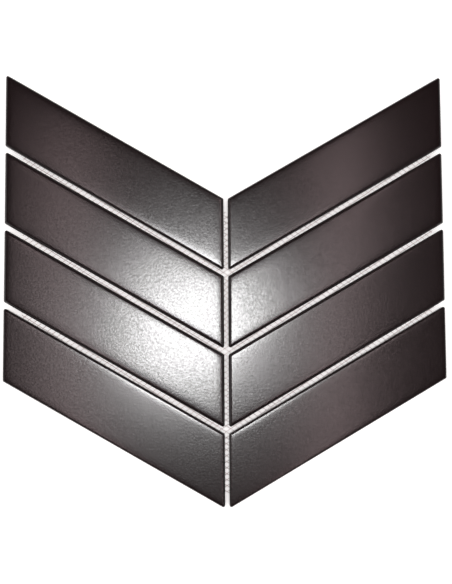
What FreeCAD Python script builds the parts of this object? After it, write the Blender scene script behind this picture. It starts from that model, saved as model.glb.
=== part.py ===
import FreeCAD, Part

import math
import os
import Sketcher

# A sheet of chevron wall tile, lying face up: eight glazed chips on one backing net.
# X runs across the two columns, +Y points to the open notch of the chevron, and +Z goes
# from the bedding side to the glazed faces. The origin is under the middle of the sheet.

doc = FreeCAD.newDocument("ChevronWallTile")
sizes = doc.addObject("Spreadsheet::Sheet", "Sizes")

# Driving dimensions, in millimetres and degrees
DRIVING = [
    ("row_count", 4, "chips in each column"),
    ("chip_length", 160.0, "long side of a chip, along its slope"),
    ("chip_width", 40.0, "square across a chip"),
    ("chip_thickness", 6.0, "back of a chip to its glazed face"),
    ("slope_angle", 30.0, "slope of the chips to the horizontal"),
    ("row_joint", 3.0, "square across the joint between two rows"),
    ("seam_joint", 2.7, "between the two columns"),
    ("corner_radius", 1.2, "plan corners of a chip"),
    ("cushion_radius", 2.2, "rolled edge round the glazed face"),
    ("foot_chamfer", 0.5, "round the back of a chip"),
    ("key_count", 5, "keying grooves in the back of a chip"),
    ("key_width", 3.0, "square across a keying groove"),
    ("key_depth", 0.5, "into the back of a chip"),
    ("key_border", 5.0, "plain border round the grooves"),
    ("net_thickness", 0.4, "two crossing threads and their glue"),
    ("net_side_margin", 8.0, "net edge inside the outer ends of the chips"),
    ("net_end_margin", 8.3, "net edge inside the notch and the point, along the seam"),
    ("net_shift", 2.2, "the net lies this far to the right of the chips' middle"),
]
for row, (name, number, note) in enumerate(DRIVING, start=1):
    sizes.set(f"A{row}", name)
    sizes.set(f"B{row}", str(number))
    sizes.setAlias(f"B{row}", name)
    sizes.set(f"C{row}", note)
doc.recompute()

# Sizes worked out from the driving ones, as expressions
CHIP_RUN = "Sizes.chip_length * cos(Sizes.slope_angle)"
CHIP_END = "Sizes.chip_width / cos(Sizes.slope_angle)"
ROW_GAP = "Sizes.row_joint / cos(Sizes.slope_angle)"
KEY_LENGTH = "Sizes.chip_length - 2 * Sizes.key_border / cos(Sizes.slope_angle)"
KEY_SPREAD = "(Sizes.chip_width - 2 * Sizes.key_border - Sizes.key_width) / cos(Sizes.slope_angle)"
NET_HALF_RUN = f"{CHIP_RUN} + Sizes.seam_joint / 2 - Sizes.net_side_margin"
NET_SAG = f"({CHIP_RUN} + Sizes.seam_joint) / 2 * tan(Sizes.slope_angle)"
NET_END = f"Sizes.row_count * {CHIP_END} + (Sizes.row_count - 1) * {ROW_GAP} - 2 * Sizes.net_end_margin"

LEFT = -1
RIGHT = 1


def size(name):
    return float(sizes.get(name))


def slope():
    return math.radians(size("slope_angle"))


def new_body(label):
    body = doc.addObject("PartDesign::Body", label)
    body.Label = label
    return body


def new_sketch(body, name):
    plane = next(f for f in body.Origin.OriginFeatures if f.Role == "XY_Plane")
    sketch = body.newObject("Sketcher::SketchObject", name)
    sketch.AttachmentSupport = [(plane, "")]
    sketch.MapMode = "FlatFace"
    return sketch


def bind(sketch, constraint, name, expression):
    index = sketch.addConstraint(constraint)
    sketch.renameConstraint(index, name)
    sketch.setExpression(f"Constraints.{name}", expression)


def draw_closed(sketch, points):
    count = len(points)
    for i, start in enumerate(points):
        end = points[(i + 1) % count]
        sketch.addGeometry(Part.LineSegment(FreeCAD.Vector(*start, 0), FreeCAD.Vector(*end, 0)), False)
    for i in range(count):
        sketch.addConstraint(Sketcher.Constraint("Coincident", i, 2, (i + 1) % count, 1))


# A parallelogram with upright ends, whose long sides rise to its outer end
def draw_slanted(sketch, side, length, length_rule, width, width_rule, middle=0.0):
    half_run = length * math.cos(slope()) / 2
    half_rise = side * length * math.sin(slope()) / 2
    half_end = width / math.cos(slope()) / 2
    draw_closed(
        sketch,
        [
            (-half_run, middle - half_rise - half_end),
            (half_run, middle + half_rise - half_end),
            (half_run, middle + half_rise + half_end),
            (-half_run, middle - half_rise + half_end),
        ],
    )
    sketch.addConstraint(Sketcher.Constraint("Vertical", 1))
    sketch.addConstraint(Sketcher.Constraint("Vertical", 3))
    sketch.addConstraint(Sketcher.Constraint("Parallel", 0, 2))
    angle = Sketcher.Constraint("Angle", 0, side * slope())
    bind(sketch, angle, "Slope", f"{side} * Sizes.slope_angle")
    bind(sketch, Sketcher.Constraint("Distance", 0, length), "LongSide", length_rule)
    bind(sketch, Sketcher.Constraint("Distance", 3, 1, 0, width), "Across", width_rule)


def edges_where(shape, wanted):
    return [f"Edge{i}" for i, edge in enumerate(shape.Edges, start=1) if wanted(edge.BoundBox)]


def dress(body, kind, name, base, wanted, field, rule):
    feature = body.newObject(kind, name)
    feature.Base = (base, edges_where(base.Shape, wanted))
    feature.setExpression(field, rule)
    doc.recompute()
    return feature


NEAR = 1e-4  # how exactly an edge lies in a plane


# One fired chip: slanted blank, rounded plan corners, rolled face edge, chamfered foot, keying grooves
def make_chip(label, side, row):
    body = new_body(label)
    outline = new_sketch(body, "Outline")
    draw_slanted(outline, side, size("chip_length"), "Sizes.chip_length", size("chip_width"), "Sizes.chip_width")
    outline.addConstraint(Sketcher.Constraint("Symmetric", 0, 1, 1, 2, -1, 1))
    blank = body.newObject("PartDesign::Pad", "Blank")
    blank.Profile = outline
    blank.setExpression("Length", "Sizes.chip_thickness")
    doc.recompute()

    face = size("chip_thickness")
    corners = dress(
        body, "PartDesign::Fillet", "Corners", blank,
        lambda box: box.ZLength > face - NEAR, "Radius", "Sizes.corner_radius",
    )
    cushion = dress(
        body, "PartDesign::Fillet", "Cushion", corners,
        lambda box: box.ZMin > face - NEAR, "Radius", "Sizes.cushion_radius",
    )
    foot = dress(
        body, "PartDesign::Chamfer", "Foot", cushion,
        lambda box: box.ZMax < NEAR, "Size", "Sizes.foot_chamfer",
    )

    key = new_sketch(body, "KeyingGroove")
    key_length = size("chip_length") - 2 * size("key_border") / math.cos(slope())
    spread = (size("chip_width") - 2 * size("key_border") - size("key_width")) / math.cos(slope())
    draw_slanted(
        key, side, key_length, KEY_LENGTH, size("key_width"), "Sizes.key_width", middle=-spread / 2
    )
    middle = key.addGeometry(Part.Point(FreeCAD.Vector(0, -spread / 2, 0)), True)
    key.addConstraint(Sketcher.Constraint("Symmetric", 0, 1, 1, 2, middle, 1))
    key.addConstraint(Sketcher.Constraint("PointOnObject", middle, 1, -2))
    below = Sketcher.Constraint("DistanceY", middle, 1, -1, 1, spread / 2)
    bind(key, below, "BelowMiddle", f"{KEY_SPREAD} / 2")
    groove = body.newObject("PartDesign::Pocket", "Groove")
    groove.Profile = key
    groove.Reversed = True
    groove.setExpression("Length", "Sizes.key_depth")
    grooves = body.newObject("PartDesign::LinearPattern", "Grooves")
    grooves.Originals = [groove]
    grooves.Direction = (key, ["V_Axis"])
    grooves.setExpression("Length", KEY_SPREAD)
    grooves.setExpression("Occurrences", "Sizes.key_count")
    body.Tip = grooves
    doc.recompute()

    cut = foot.Shape.Volume - grooves.Shape.Volume
    expected = size("key_count") * key_length * size("key_width") * size("key_depth")
    if abs(cut - expected) > 0.01 * expected:
        raise RuntimeError(f"{label}: the grooves take {cut:.1f} mm3, not {expected:.1f}")

    body.setExpression("Placement.Base.x", f"{side} * (Sizes.seam_joint + {CHIP_RUN}) / 2")
    body.setExpression("Placement.Base.y", f"((Sizes.row_count - 1) / 2 - {row}) * ({CHIP_END} + {ROW_GAP})")
    body.setExpression("Placement.Base.z", "Sizes.net_thickness")
    return body


# The net: one thin sheet cut to the chevron, a little smaller than the chips
def make_net(label):
    body = new_body(label)
    half_run = size("chip_length") * math.cos(slope()) + size("seam_joint") / 2 - size("net_side_margin")
    chips_across = size("row_count") * size("chip_width") + (size("row_count") - 1) * size("row_joint")
    end = chips_across / math.cos(slope()) - 2 * size("net_end_margin")
    sag = (size("chip_length") * math.cos(slope()) + size("seam_joint")) / 2 * math.tan(slope())
    point = -sag - end / 2
    rise = half_run * math.tan(slope())
    outline = new_sketch(body, "Outline")
    draw_closed(
        outline,
        [
            (0, point),
            (half_run, point + rise),
            (half_run, point + rise + end),
            (0, point + end),
            (-half_run, point + rise + end),
            (-half_run, point + rise),
        ],
    )
    outline.addConstraint(Sketcher.Constraint("PointOnObject", 0, 1, -2))
    outline.addConstraint(Sketcher.Constraint("PointOnObject", 3, 1, -2))
    outline.addConstraint(Sketcher.Constraint("Symmetric", 0, 2, 5, 1, -2))
    outline.addConstraint(Sketcher.Constraint("Symmetric", 1, 2, 4, 1, -2))
    outline.addConstraint(Sketcher.Constraint("Vertical", 1))
    outline.addConstraint(Sketcher.Constraint("Parallel", 0, 2))
    bind(outline, Sketcher.Constraint("Angle", 0, slope()), "Slope", "Sizes.slope_angle")
    bind(outline, Sketcher.Constraint("DistanceX", 0, 1, 0, 2, half_run), "HalfRun", NET_HALF_RUN)
    bind(outline, Sketcher.Constraint("DistanceY", 1, 1, 1, 2, end), "End", NET_END)
    depth = Sketcher.Constraint("DistanceY", 0, 1, -1, 1, -point)
    bind(outline, depth, "PointDepth", f"({NET_END}) / 2 + {NET_SAG}")
    sheet = body.newObject("PartDesign::Pad", "Net")
    sheet.Profile = outline
    sheet.setExpression("Length", "Sizes.net_thickness")
    body.setExpression("Placement.Base.x", "Sizes.net_shift")
    return body


pieces = [make_net("backing_mesh")]
for row in range(int(size("row_count"))):
    pieces.append(make_chip(f"tile_left_{row + 1}", LEFT, row))
    pieces.append(make_chip(f"tile_right_{row + 1}", RIGHT, row))
doc.recompute()

for item in doc.Objects:
    if "Invalid" in item.State or "Error" in item.State:
        raise RuntimeError(f"{item.Name} did not build: {item.State}")
for piece in pieces:
    if piece.Shape.isNull() or not piece.Shape.isValid() or len(piece.Shape.Solids) != 1:
        raise RuntimeError(f"{piece.Label} is not one sound solid")

os.makedirs("parts", exist_ok=True)
for piece in pieces:
    piece.Shape.exportStep(f"parts/{piece.Label}.step")
    print(piece.Label, f"{piece.Shape.Volume:.1f} mm3")
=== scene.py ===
import math

import bmesh
import bpy
from mathutils import Matrix, Vector, noise


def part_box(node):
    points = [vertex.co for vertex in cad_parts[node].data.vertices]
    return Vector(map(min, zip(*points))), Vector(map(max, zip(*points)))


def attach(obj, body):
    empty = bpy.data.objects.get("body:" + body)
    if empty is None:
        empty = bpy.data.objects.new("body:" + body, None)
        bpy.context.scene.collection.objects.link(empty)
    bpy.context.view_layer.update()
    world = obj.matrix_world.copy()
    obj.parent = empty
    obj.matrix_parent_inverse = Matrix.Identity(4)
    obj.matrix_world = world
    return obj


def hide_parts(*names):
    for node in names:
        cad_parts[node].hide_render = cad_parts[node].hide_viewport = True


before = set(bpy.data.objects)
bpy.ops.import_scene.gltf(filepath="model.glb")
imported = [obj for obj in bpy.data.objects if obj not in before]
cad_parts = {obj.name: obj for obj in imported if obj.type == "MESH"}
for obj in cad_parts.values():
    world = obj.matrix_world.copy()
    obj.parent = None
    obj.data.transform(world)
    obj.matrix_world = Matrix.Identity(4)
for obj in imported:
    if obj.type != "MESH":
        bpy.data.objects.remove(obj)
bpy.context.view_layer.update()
mm = 0.001
body = "root"


# Small helpers that every piece uses
def newPiece(name, mesh, materials):
    for material in materials:
        mesh.materials.append(material)
    piece = bpy.data.objects.new(name, mesh)
    bpy.context.scene.collection.objects.link(piece)
    return piece


def meshFrom(bm, name):
    mesh = bpy.data.meshes.new(name)
    bm.to_mesh(mesh)
    bm.free()
    return mesh


upward = Vector((0, 0, 1))
downward = Vector((0, 0, -1))
alongRun = Vector((1, 0, 0))
squareOn = 0.9  # cosine of the widest angle at which a face still counts as facing a direction


def facesFacing(bm, direction):
    return [face for face in bm.faces if face.normal.dot(direction) > squareOn]


def largestFacing(bm, direction):
    return max(facesFacing(bm, direction), key=lambda face: face.calc_area())


# Shader building blocks
def addNode(tree, kind, inputs=None, **settings):
    node = tree.nodes.new(kind)
    for name, value in settings.items():
        setattr(node, name, value)
    for name, value in (inputs or {}).items():
        socket = node.inputs[name]
        if isinstance(value, bpy.types.NodeSocket):
            tree.links.new(value, socket)
        else:
            socket.default_value = value
    return node


def newMaterial(name):
    material = bpy.data.materials.new(name)
    material.use_nodes = True
    tree = material.node_tree
    tree.nodes.clear()
    return material, tree


def finishMaterial(tree, shader):
    output = tree.nodes.new("ShaderNodeOutputMaterial")
    tree.links.new(shader.outputs[0], output.inputs["Surface"])


def newGroup(name, inputs, outputs):
    group = bpy.data.node_groups.new(name, "ShaderNodeTree")
    for label, kind in inputs:
        group.interface.new_socket(label, in_out="INPUT", socket_type=kind)
    for label, kind in outputs:
        group.interface.new_socket(label, in_out="OUTPUT", socket_type=kind)
    return group, group.nodes.new("NodeGroupInput"), group.nodes.new("NodeGroupOutput")


# Cloud, ripple and grain: a drift over a whole piece, a gentle unevenness and a fine grain, each 0 to 1
variationDetail = {"Cloud": 3.0, "Ripple": 1.0, "Grain": 1.0}
noiseSpan = (0.3, 0.7)  # nearly all of a noise pattern's values lie between these


def makeSurfaceVariation():
    inputs = [("Position", "NodeSocketVector")]
    inputs += [(layer + " Scale", "NodeSocketFloat") for layer in variationDetail]
    outputs = [(layer, "NodeSocketFloat") for layer in variationDetail]
    group, source, target = newGroup("surfaceVariation", inputs, outputs)
    position = source.outputs["Position"]
    for layer, detail in variationDetail.items():
        scale = source.outputs[layer + " Scale"]
        pattern = addNode(
            group, "ShaderNodeTexNoise", {"Vector": position, "Scale": scale, "Detail": detail}
        )
        group.links.new(pattern.outputs["Fac"], target.inputs[layer])
    return group


surfaceVariation = makeSurfaceVariation()


def objectPosition(tree):
    return addNode(tree, "ShaderNodeTexCoord").outputs["Object"]


def placeVariation(tree, position, scales):
    node = addNode(tree, "ShaderNodeGroup", {"Position": position}, node_tree=surfaceVariation)
    for layer, scale in scales.items():
        node.inputs[layer + " Scale"].default_value = scale
    return node.outputs


def blendColours(tree, mask, low, high):
    return addNode(
        tree, "ShaderNodeMix", {"Factor": mask, "A": low, "B": high}, data_type="RGBA"
    ).outputs["Result"]


def calculate(tree, operation, *values):
    return addNode(tree, "ShaderNodeMath", dict(enumerate(values)), operation=operation).outputs[0]


def mapValue(tree, value, low, high, toLow, toHigh):
    return addNode(
        tree, "ShaderNodeMapRange",
        {"Value": value, "From Min": low, "From Max": high, "To Min": toLow, "To Max": toHigh},
    ).outputs["Result"]


# The glaze: nearly black with a warm cast, satin, over a dark unglazed body at the foot
glazeSet = {
    "dark": (0.0057, 0.0019, 0.0022, 1),
    "light": (0.0080, 0.0026, 0.0029, 1),
    "biscuit": (0.090, 0.075, 0.066, 1),
    "roughLow": 0.18,
    "roughHigh": 0.20,
    "biscuitRough": 0.85,
    "scales": {"Cloud": 34.0, "Ripple": 170.0, "Grain": 780.0},
    "rippleDepth": 0.020 * mm,
    "grainDepth": 0.050 * mm,
    "grainCoat": (0.38, 0.82),
    "coatRough": 0.19,
    "specularLevel": 0.2,
    "glazeStop": 1.0 * mm,
    "glazeDrip": 0.25 * mm,
    "glazeFade": 0.1 * mm,
    "ior": 1.45,
}


def makeGlaze():
    material, tree = newMaterial("satinGlaze")
    position = objectPosition(tree)
    layers = placeVariation(tree, position, glazeSet["scales"])
    cloud, ripple, grain = layers["Cloud"], layers["Ripple"], layers["Grain"]
    colour = blendColours(tree, cloud, glazeSet["dark"], glazeSet["light"])
    rough = mapValue(tree, cloud, *noiseSpan, glazeSet["roughLow"], glazeSet["roughHigh"])
    gloss = mapValue(tree, grain, *noiseSpan, *glazeSet["grainCoat"])
    height = addNode(tree, "ShaderNodeSeparateXYZ", {"Vector": position}).outputs["Z"]
    drift = calculate(tree, "MULTIPLY", cloud, glazeSet["glazeDrip"])
    level = calculate(tree, "SUBTRACT", height, drift)
    stop, fade = glazeSet["glazeStop"], glazeSet["glazeFade"]
    glazed = mapValue(tree, level, stop - fade, stop + fade, 0.0, 1.0)
    finalColour = blendColours(tree, glazed, glazeSet["biscuit"], colour)
    finalRough = addNode(
        tree, "ShaderNodeMix", {"Factor": glazed, "A": glazeSet["biscuitRough"], "B": rough},
        data_type="FLOAT",
    ).outputs["Result"]
    coat = calculate(tree, "MULTIPLY", gloss, glazed)
    uneven = addNode(
        tree, "ShaderNodeBump", {"Strength": 1.0, "Distance": glazeSet["rippleDepth"], "Height": ripple}
    )
    bump = addNode(
        tree, "ShaderNodeBump",
        {"Strength": 1.0, "Distance": glazeSet["grainDepth"], "Height": grain, "Normal": uneven.outputs[0]},
    )
    shader = addNode(
        tree, "ShaderNodeBsdfPrincipled",
        {
            "Base Color": finalColour, "Roughness": finalRough, "IOR": glazeSet["ior"],
            "Specular IOR Level": glazeSet["specularLevel"], "Coat Weight": coat,
            "Coat Roughness": glazeSet["coatRough"], "Coat IOR": glazeSet["ior"], "Normal": bump.outputs[0],
        },
    )
    finishMaterial(tree, shader)
    return material


# The net: white glass-fibre thread with a dull coating
netFinish = {
    "light": (0.82, 0.765, 0.75, 1),
    "shade": (0.71, 0.655, 0.64, 1),
    "rough": 0.6,
    "scales": {"Ripple": 400.0, "Grain": 2600.0},
    "grainDepth": 0.03 * mm,
    "grainStrength": 0.6,
}


def makeNetFinish():
    material, tree = newMaterial("coatedGlassFibre")
    layers = placeVariation(tree, objectPosition(tree), netFinish["scales"])
    colour = blendColours(tree, layers["Ripple"], netFinish["shade"], netFinish["light"])
    bump = addNode(
        tree, "ShaderNodeBump",
        {
            "Strength": netFinish["grainStrength"], "Distance": netFinish["grainDepth"],
            "Height": layers["Grain"],
        },
    )
    shader = addNode(
        tree, "ShaderNodeBsdfPrincipled",
        {"Base Color": colour, "Roughness": netFinish["rough"], "Normal": bump.outputs[0]},
    )
    finishMaterial(tree, shader)
    return material


glaze = makeGlaze()
fibre = makeNetFinish()
print("materials ready")


# One chip: outline, walls, rolled edge that eases into the face, foot, and grooves in its back
chipSet = {
    "slope": math.radians(30),
    "width": 40 * mm,
    "cornerRadius": 1.2 * mm,
    "postSides": 36,
    "outerSteps": 7,
    "innerSteps": 4,
    "easeRings": (2.6 * mm, 3.4 * mm, 4.4 * mm, 5.8 * mm, 7.6 * mm, 9.8 * mm),
    "foot": 0.5 * mm,
    "cell": 3.0 * mm,
    "cornerCuts": (2.6 * mm, 4.4 * mm, 6.8 * mm),
    "topRise": 0.05,  # the grid cuts only faces that look up at least this much
    "flatAngle": math.radians(0.5),  # hull faces within this angle become one flat
    "cornerWeld": 0.02 * mm,  # a corner arc's points become one when they are this near
    "sliver": 0.002 * mm,  # shorter edges are dissolved
    "levelWall": 1.0 * mm,  # this much of the wall stays level when the face leans
    "sharpAngle": math.radians(35),
    "keyCount": 5,
    "keyWidth": 3.0 * mm,
    "keyDepth": 0.5 * mm,
    "keyDraft": 0.15 * mm,
    "keyBorder": 5.0 * mm,
    "waveDepth": 0.03 * mm,
    "waveScale": 26.0,
}

# Each chip's own habit: its face leans to the right and up the wall (degrees), its rolled edge has a radius,
# and the face falls away towards that edge by a depth that fades over a reach (mm)
chipHabits = {
    "tile_left_1": (0.05, -0.20, 1.70, 0.26, 1.9),
    "tile_left_2": (-0.05, -0.25, 2.05, 0.29, 1.9),
    "tile_left_3": (0.25, 0.25, 2.00, 0.30, 1.9),
    "tile_left_4": (0.00, 0.15, 1.55, 0.20, 1.2),
    "tile_right_1": (-0.25, 0.30, 1.75, 0.22, 1.9),
    "tile_right_2": (-0.30, 0.15, 1.95, 0.27, 1.9),
    "tile_right_3": (0.15, -0.30, 2.00, 0.12, 1.9),
    "tile_right_4": (0.15, 0.15, 1.45, 0.22, 1.1),
}


def cushionRings(radius):
    meet = math.acos(1 - chipSet["cornerRadius"] / radius)
    outer, inner = chipSet["outerSteps"], chipSet["innerSteps"]
    angles = [meet * (i + 1) / outer for i in range(outer)]
    angles += [meet + (math.pi / 2 - meet) * (i + 1) / inner for i in range(inner)]
    insets = [radius * (1 - math.cos(angle)) for angle in angles] + list(chipSet["easeRings"])
    return [0.0] + insets


def cushionDrop(inset, radius, ease, easeReach):
    reach = min(inset, radius)
    circle = radius - math.sqrt(max(radius * radius - (radius - reach) ** 2, 0.0))
    return circle + ease * math.exp(-inset / easeReach)


onPlane = 0.0001 * mm  # a point this near to a cutting plane lies on it


def cutAcross(bm, faces, point, normal):
    edges = {edge for face in faces for edge in face.edges}
    verts = {vert for face in faces for vert in face.verts}
    bmesh.ops.bisect_plane(
        bm, geom=list(verts) + list(edges) + list(faces), dist=onPlane, plane_co=point, plane_no=normal
    )


def cutPlaces(reach, halfLength):
    count = max(2, round(2 * reach / chipSet["cell"]))
    even = [-reach + 2 * reach * i / count for i in range(count + 1)]
    return even + [end * (halfLength - cut) for cut in chipSet["cornerCuts"] for end in (-1, 1)]


def chipMeasures(node):
    low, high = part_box(node)
    side = -1 if "left" in node else 1
    slope = side * math.tan(chipSet["slope"])
    leanRight, leanUp = (math.radians(lean) for lean in chipHabits[node][:2])
    roll, ease, easeReach = (length * mm for length in chipHabits[node][2:])
    rings = cushionRings(roll)
    return {
        "middle": (low + high) / 2,
        "halfRun": (high.x - low.x) / 2,
        "halfWidth": chipSet["width"] / 2,
        "slope": slope,
        "across": Vector((-slope, 1, 0)).normalized(),
        "wallFoot": low.z + chipSet["foot"],
        "faceTop": high.z,
        "rings": rings,
        "drops": [cushionDrop(inset, roll, ease, easeReach) for inset in rings],
        "ease": ease,
        "easeReach": easeReach,
        "fall": Vector((leanRight, leanUp, 0)),
    }


# The hull of four round posts, one in each plan corner, with flats along the chip's sides
def makeBlank(bm, chip):
    radius = chipSet["cornerRadius"]
    halfStep = math.pi / chipSet["postSides"]
    halfEnd = chipSet["width"] / math.cos(chipSet["slope"]) / 2
    wallTop = chip["faceTop"] - chip["drops"][0]
    postRun = chip["halfRun"] - radius
    postEnd = halfEnd - radius / math.cos(chipSet["slope"])
    for x, up in ((-postRun, -1), (postRun, -1), (postRun, 1), (-postRun, 1)):
        y = chip["middle"].y + chip["slope"] * x + up * postEnd
        centre = Vector((chip["middle"].x + x, y, (chip["wallFoot"] + wallTop) / 2))
        bmesh.ops.create_cone(
            bm, cap_ends=True, segments=chipSet["postSides"], radius1=radius / math.cos(halfStep),
            radius2=radius / math.cos(halfStep), depth=wallTop - chip["wallFoot"],
            matrix=Matrix.Translation(centre) @ Matrix.Rotation(halfStep, 4, "Z"),
        )
    hull = bmesh.ops.convex_hull(bm, input=bm.verts)
    bmesh.ops.delete(bm, geom=hull["geom_interior"] + hull["geom_unused"], context="VERTS")
    bmesh.ops.dissolve_limit(bm, angle_limit=chipSet["flatAngle"], verts=bm.verts, edges=bm.edges)
    bmesh.ops.recalc_face_normals(bm, faces=bm.faces)


# The back is drawn in by a small chamfer
def chamferFoot(bm):
    bmesh.ops.inset_region(
        bm, faces=facesFacing(bm, downward), thickness=chipSet["foot"], depth=chipSet["foot"],
        use_even_offset=True, use_boundary=True,
    )


# The face is drawn in and up ring by ring, and each corner arc closes to a point
def rollEdge(bm, rings, drops):
    for i in range(1, len(rings)):
        face = largestFacing(bm, upward)
        bmesh.ops.inset_region(
            bm, faces=[face], thickness=rings[i] - rings[i - 1], depth=drops[i - 1] - drops[i],
            use_even_offset=True, use_boundary=True,
        )
        if math.isclose(rings[i], chipSet["cornerRadius"]):
            bmesh.ops.remove_doubles(bm, verts=face.verts[:], dist=chipSet["cornerWeld"])


# Keying grooves in the back, parallel to the long sides
def cutGrooves(bm, chip):
    middle, across = chip["middle"], chip["across"]
    halfKey = chipSet["keyWidth"] / 2
    keyRun = chip["halfRun"] - chipSet["keyBorder"]
    spread = chip["halfWidth"] - chipSet["keyBorder"] - halfKey
    count = chipSet["keyCount"]
    centres = [-spread + 2 * spread * i / (count - 1) for i in range(count)]
    for x in (-keyRun, keyRun):
        cutAcross(bm, facesFacing(bm, downward), middle + alongRun * x, alongRun)
    for centre in centres:
        for edge in (-halfKey, halfKey):
            cutAcross(bm, facesFacing(bm, downward), middle + across * (centre + edge), across)
    grooves = []
    for panel in facesFacing(bm, downward):
        offset = panel.calc_center_median() - middle
        inRun = abs(offset.x) < keyRun
        inKey = any(abs(offset.dot(across) - centre) < halfKey for centre in centres)
        if inRun and inKey:
            grooves.append(panel)
    bmesh.ops.inset_individual(
        bm, faces=grooves, thickness=chipSet["keyDraft"], depth=-chipSet["keyDepth"],
        use_even_offset=True,
    )


# A grid over the face, even on its flat and closer at the corners
def gridFace(bm, chip):
    innermost = chip["rings"][-1]
    cuts = []
    for x in cutPlaces(chip["halfRun"] - innermost, chip["halfRun"]):
        cuts.append((alongRun * x, alongRun))
    for reach in cutPlaces(chip["halfWidth"] - innermost, chip["halfWidth"]):
        cuts.append((chip["across"] * reach, chip["across"]))
    for place, normal in cuts:
        top = [face for face in bm.faces if face.normal.z > chipSet["topRise"]]
        cutAcross(bm, top, chip["middle"] + place, normal)


# The face leans, waves slightly and falls away at its corners, and the wall below it gives way evenly
def settleFace(bm, chip):
    middle, fall, wallFoot = chip["middle"], chip["fall"], chip["wallFoot"]
    highest = max(-fall.dot(vert.co - middle) for vert in bm.verts)
    for vert in bm.verts:
        if vert.co.z > wallFoot + chipSet["levelWall"]:
            offset = vert.co - middle
            wave = chipSet["waveDepth"] * (0.5 + 0.5 * noise.noise(vert.co * chipSet["waveScale"]))
            fromEnds = chip["halfRun"] - abs(offset.x)
            fromSides = chip["halfWidth"] - abs(offset.dot(chip["across"]))
            corner = chip["ease"] * math.exp(-max(fromEnds, fromSides) / chip["easeReach"])
            drop = wave + corner + highest + fall.dot(offset)
            vert.co.z -= drop * (vert.co.z - wallFoot) / (chip["faceTop"] - wallFoot)


def makeChip(node):
    measures = chipMeasures(node)
    bm = bmesh.new()
    makeBlank(bm, measures)
    chamferFoot(bm)
    rollEdge(bm, measures["rings"], measures["drops"])
    cutGrooves(bm, measures)
    gridFace(bm, measures)
    settleFace(bm, measures)
    bmesh.ops.dissolve_degenerate(bm, dist=chipSet["sliver"], edges=bm.edges)
    bmesh.ops.recalc_face_normals(bm, faces=bm.faces)
    mesh = meshFrom(bm, node + "_glazed")
    mesh.shade_smooth()
    mesh.set_sharp_from_angle(angle=chipSet["sharpAngle"])
    chip = newPiece(node + "_glazed", mesh, [glaze])
    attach(chip, body)
    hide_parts(node)
    return chip


chipNodes = sorted(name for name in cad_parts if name.startswith("tile_"))
chips = [makeChip(node) for node in chipNodes]
print("chips", len(chips), "faces in one", len(chips[0].data.polygons))


# The net: two families of threads that pass over and under each other, cut to the chevron.
netSet = {
    "cellHeight": 3.747 * mm,
    "cellWidth": 5.74 * mm,
    "start": (1.35 * mm, 1.24 * mm, 0),
    "turn": math.radians(0.7),
    "threadWidth": 0.50 * mm,
    "threadFlat": 0.28 * mm,
    "threadDepth": 0.2 * mm,
    "wander": 0.15 * mm,
    "wanderScale": 60.0,
    "wanderSeed": 1,
    "laidReach": 0.4,  # threads are laid this far out, then cut to the outline
    "trimHalvings": 12,
    "endWeld": 0.001 * mm,
}


def netShape():
    low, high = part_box("backing_mesh")
    halfRun = (high.x - low.x) / 2
    rise = halfRun * math.tan(chipSet["slope"])
    end = high.y - low.y - rise
    return {
        "middle": (low.x + high.x) / 2,
        "halfRun": halfRun,
        "halfEnd": end / 2,
        "lowest": low.y + end / 2,
        "base": low.z,
        "top": high.z,
    }


def insideNet(point, shape, margin):
    across = abs(point.x - shape["middle"])
    centre = shape["lowest"] + across * math.tan(chipSet["slope"])
    inRun = across < shape["halfRun"] - margin
    return inRun and abs(point.y - centre) < shape["halfEnd"] - margin / math.cos(chipSet["slope"])


def crossingPoint(first, second):
    x = netSet["cellWidth"] * (second - first) / 2
    y = netSet["cellHeight"] * (first + second) / 2
    spot = Matrix.Rotation(netSet["turn"], 3, "Z") @ Vector((x, y, 0)) + Vector(netSet["start"])
    drift = noise.noise_vector(spot * netSet["wanderScale"])
    over = 1 if (first + second) % 2 else -1
    spot += Vector((drift.x, drift.y, 0)) * netSet["wander"]
    return spot, over * netSet["threadDepth"] / 2


def trimEnd(inner, outer, shape, margin):
    for _ in range(netSet["trimHalvings"]):
        half = (inner + outer) / 2
        if insideNet(half, shape, margin):
            inner = half
        else:
            outer = half
    return inner


def makeProfile():
    profile = bpy.data.curves.new("threadSection", "CURVE")
    profile.dimensions = "2D"
    spline = profile.splines.new("POLY")
    wide, flat, deep = netSet["threadWidth"] / 2, netSet["threadFlat"] / 2, netSet["threadDepth"] / 2
    section = [(wide, 0), (flat, deep), (-flat, deep), (-wide, 0), (-flat, -deep), (flat, -deep)]
    spline.points.add(len(section) - 1)
    for point, (x, y) in zip(spline.points, section):
        point.co = (x, y, 0, 1)
    spline.use_cyclic_u = True
    return bpy.data.objects.new("threadSection", profile)


# One thread laid right across, which rises and dips by turns
def threadLine(family, thread, reach, level):
    line = []
    for step in range(-reach, reach + 1):
        first, second = (thread, step) if family == 0 else (step, thread)
        spot, over = crossingPoint(first, second)
        lift = over if family == 0 else -over
        line.append(spot + Vector((0, 0, level + lift)))
    return line


# The stretches of a thread that lie inside the net's outline
def runsInside(line, shape, margin):
    runs = []
    for before, here in zip(line, line[1:]):
        wasIn, isIn = insideNet(before, shape, margin), insideNet(here, shape, margin)
        if isIn and not wasIn:
            runs.append([trimEnd(here, before, shape, margin), here])
        elif isIn:
            runs[-1].append(here)
        elif wasIn:
            runs[-1].append(trimEnd(before, here, shape, margin))
    return runs


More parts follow.
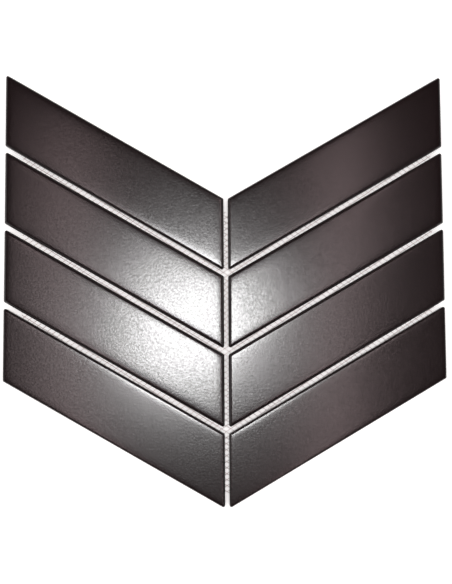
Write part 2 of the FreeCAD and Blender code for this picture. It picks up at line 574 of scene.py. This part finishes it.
def makeNet():
    shape = netShape()
    margin = netSet["threadWidth"] / 2
    level = (shape["base"] + shape["top"]) / 2
    section = makeProfile()
    noise.seed_set(netSet["wanderSeed"])  # unseeded, noise_vector starts from the clock
    threads = bpy.data.curves.new("netThreads", "CURVE")
    threads.dimensions = "3D"
    threads.twist_mode = "Z_UP"
    threads.bevel_mode = "OBJECT"
    threads.bevel_object = section
    threads.use_fill_caps = True
    reach = int(netSet["laidReach"] / netSet["cellHeight"])
    for family in (0, 1):
        for thread in range(-reach, reach + 1):
            for run in runsInside(threadLine(family, thread, reach, level), shape, margin):
                spline = threads.splines.new("POLY")
                spline.points.add(len(run) - 1)
                for point, spot in zip(spline.points, run):
                    point.co = (*spot, 1)
    holder = bpy.data.objects.new("netThreads", threads)
    bpy.context.scene.collection.objects.link(holder)
    bpy.context.view_layer.update()
    depsgraph = bpy.context.evaluated_depsgraph_get()
    mesh = bpy.data.meshes.new_from_object(holder.evaluated_get(depsgraph))
    for spare in (holder, section):
        bpy.data.objects.remove(spare)

    # Swept threads have loose end caps and inward faces, so the ends are joined and the faces turned out
    bm = bmesh.new()
    bm.from_mesh(mesh)
    bpy.data.meshes.remove(mesh)
    bmesh.ops.remove_doubles(bm, verts=bm.verts, dist=netSet["endWeld"])
    bmesh.ops.recalc_face_normals(bm, faces=bm.faces)
    net = newPiece("backing_net", meshFrom(bm, "backing_net"), [fibre])
    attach(net, body)
    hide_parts("backing_mesh")
    return net


net = makeNet()
print("net faces", len(net.data.polygons))


# Floor, lamps and camera
stageSet = {
    "floorHalf": 8.0,
    "floorColour": (0.872, 0.866, 0.852, 1),
    "openLift": 0.45,
    # the floor's glow in the joints, lower than in the open: a painted shade between the chips
    "jointGlowPaintedShade": 0.27,
    "liftReach": 12 * mm,
    "liftOpenness": (0.25, 0.5),  # how open the floor is where its glow goes from the joints' dimmer glow, a painted shade, to the open floor's
    "liftSamples": 8,
    "worldLow": (0.95, 0.95, 0.95, 1),
    "worldHigh": (0.06, 0.06, 0.06, 1),
    "worldRise": (0.03, 0.38),  # the heights at which the low colour ends and the high one begins
    "worldSides": (-1.5, 0.2, -0.13),  # how much either side, the right side and the far side add to height
    "sidePower": 3.0,
    "leftSpan": (-1.0, -0.3),  # the left part of the world, which is brighter
    "leftStrength": 1.3,
}


def makeFloor():
    bm = bmesh.new()
    bmesh.ops.create_grid(bm, x_segments=1, y_segments=1, size=stageSet["floorHalf"])
    mesh = meshFrom(bm, "floor")
    material, tree = newMaterial("paleFloor")
    diffuse = addNode(tree, "ShaderNodeBsdfDiffuse", {"Color": stageSet["floorColour"]})
    # The floor glows for camera, glossy and transmission rays; where the chips hide it, by ambient occlusion,
    # the glow is dimmed, a painted shade in the joints and at the chips' feet
    openness = addNode(
        tree, "ShaderNodeAmbientOcclusion", {"Distance": stageSet["liftReach"]},
        samples=stageSet["liftSamples"],
    )
    lifts = (stageSet["jointGlowPaintedShade"], stageSet["openLift"])
    strength = mapValue(tree, openness.outputs["AO"], *stageSet["liftOpenness"], *lifts)
    glow = addNode(tree, "ShaderNodeEmission", {"Strength": strength})
    noGlow = addNode(tree, "ShaderNodeEmission", {"Strength": 0.0})
    rays = addNode(tree, "ShaderNodeLightPath").outputs
    seen = calculate(tree, "MAXIMUM", rays["Is Camera Ray"], rays["Is Glossy Ray"])
    seenAll = calculate(tree, "MAXIMUM", seen, rays["Is Transmission Ray"])
    lift = addNode(tree, "ShaderNodeMixShader", {0: seenAll, 1: noGlow.outputs[0], 2: glow.outputs[0]})
    both = addNode(tree, "ShaderNodeAddShader", {0: diffuse.outputs[0], 1: lift.outputs[0]})
    finishMaterial(tree, both)
    floor = newPiece("floor", mesh, [material])


def makeWorld():
    world = bpy.data.worlds.new("paleRoom")
    bpy.context.scene.world = world
    world.use_nodes = True
    tree = world.node_tree
    tree.nodes.clear()
    direction = addNode(tree, "ShaderNodeTexCoord").outputs["Generated"]
    parts = addNode(tree, "ShaderNodeSeparateXYZ", {"Vector": direction}).outputs
    cubed = calculate(tree, "POWER", parts["X"], stageSet["sidePower"])
    aside = calculate(tree, "ABSOLUTE", cubed)
    up = parts["Z"]
    for part, share in zip((aside, cubed, parts["Y"]), stageSet["worldSides"]):
        up = calculate(tree, "MULTIPLY_ADD", part, share, up)
    height = mapValue(tree, up, *stageSet["worldRise"], 0.0, 1.0)
    colour = blendColours(tree, height, stageSet["worldLow"], stageSet["worldHigh"])
    strength = mapValue(tree, parts["X"], *stageSet["leftSpan"], stageSet["leftStrength"], 1.0)
    light = addNode(tree, "ShaderNodeBackground", {"Color": colour, "Strength": strength})
    output = tree.nodes.new("ShaderNodeOutputWorld")
    tree.links.new(light.outputs[0], output.inputs["Surface"])


# A square window over the sheet and a faint, long strip to each side of it
white = (1, 1, 1)
rose = (1, 0.75, 0.765)
lampSet = {
    "window": {"centre": (-0.04, 0.035, 3.0), "size": (0.49, 0.44), "power": 38.5, "colour": white},
    "stripLeft": {"centre": (-0.59, -0.07, 3.0), "size": (0.15, 1.95), "power": 7.0, "colour": rose},
    "stripRight": {"centre": (0.58, -0.02, 3.0), "size": (0.11, 2.05), "power": 7.5, "colour": rose},
}


def makeLamp(name, centre, size, power, colour):
    lamp = bpy.data.lights.new(name, "AREA")
    lamp.color = colour
    lamp.shape = "RECTANGLE"
    lamp.size, lamp.size_y = size
    lamp.energy = power
    holder = bpy.data.objects.new(name, lamp)
    holder.location = centre
    bpy.context.scene.collection.objects.link(holder)


cameraSet = {
    "aim": (0.03 * mm, -2.0 * mm, 0.4 * mm),
    "turn": (math.radians(-3.56), math.radians(1.86), math.radians(0.23)),
    "reach": 511.5 * mm,
    "focalPixels": 800,
    "frameHeight": 584,
    "film": 36.0,
}


def makeCamera():
    camera = bpy.data.cameras.new("camera")
    camera.sensor_width = cameraSet["film"]
    camera.lens = cameraSet["focalPixels"] / cameraSet["frameHeight"] * cameraSet["film"]
    holder = bpy.data.objects.new("camera", camera)
    bpy.context.scene.collection.objects.link(holder)
    aboutX, aboutY, aboutZ = cameraSet["turn"]
    turn = Matrix.Rotation(aboutZ, 4, "Z") @ Matrix.Rotation(aboutY, 4, "Y") @ Matrix.Rotation(aboutX, 4, "X")
    back = Matrix.Translation((0, 0, cameraSet["reach"]))
    holder.matrix_world = Matrix.Translation(cameraSet["aim"]) @ turn.transposed() @ back
    bpy.context.scene.camera = holder


makeFloor()
makeWorld()
for lampName, lamp in lampSet.items():
    makeLamp(lampName, **lamp)
makeCamera()
bpy.context.scene.view_settings.view_transform = "Standard"
print("stage ready")
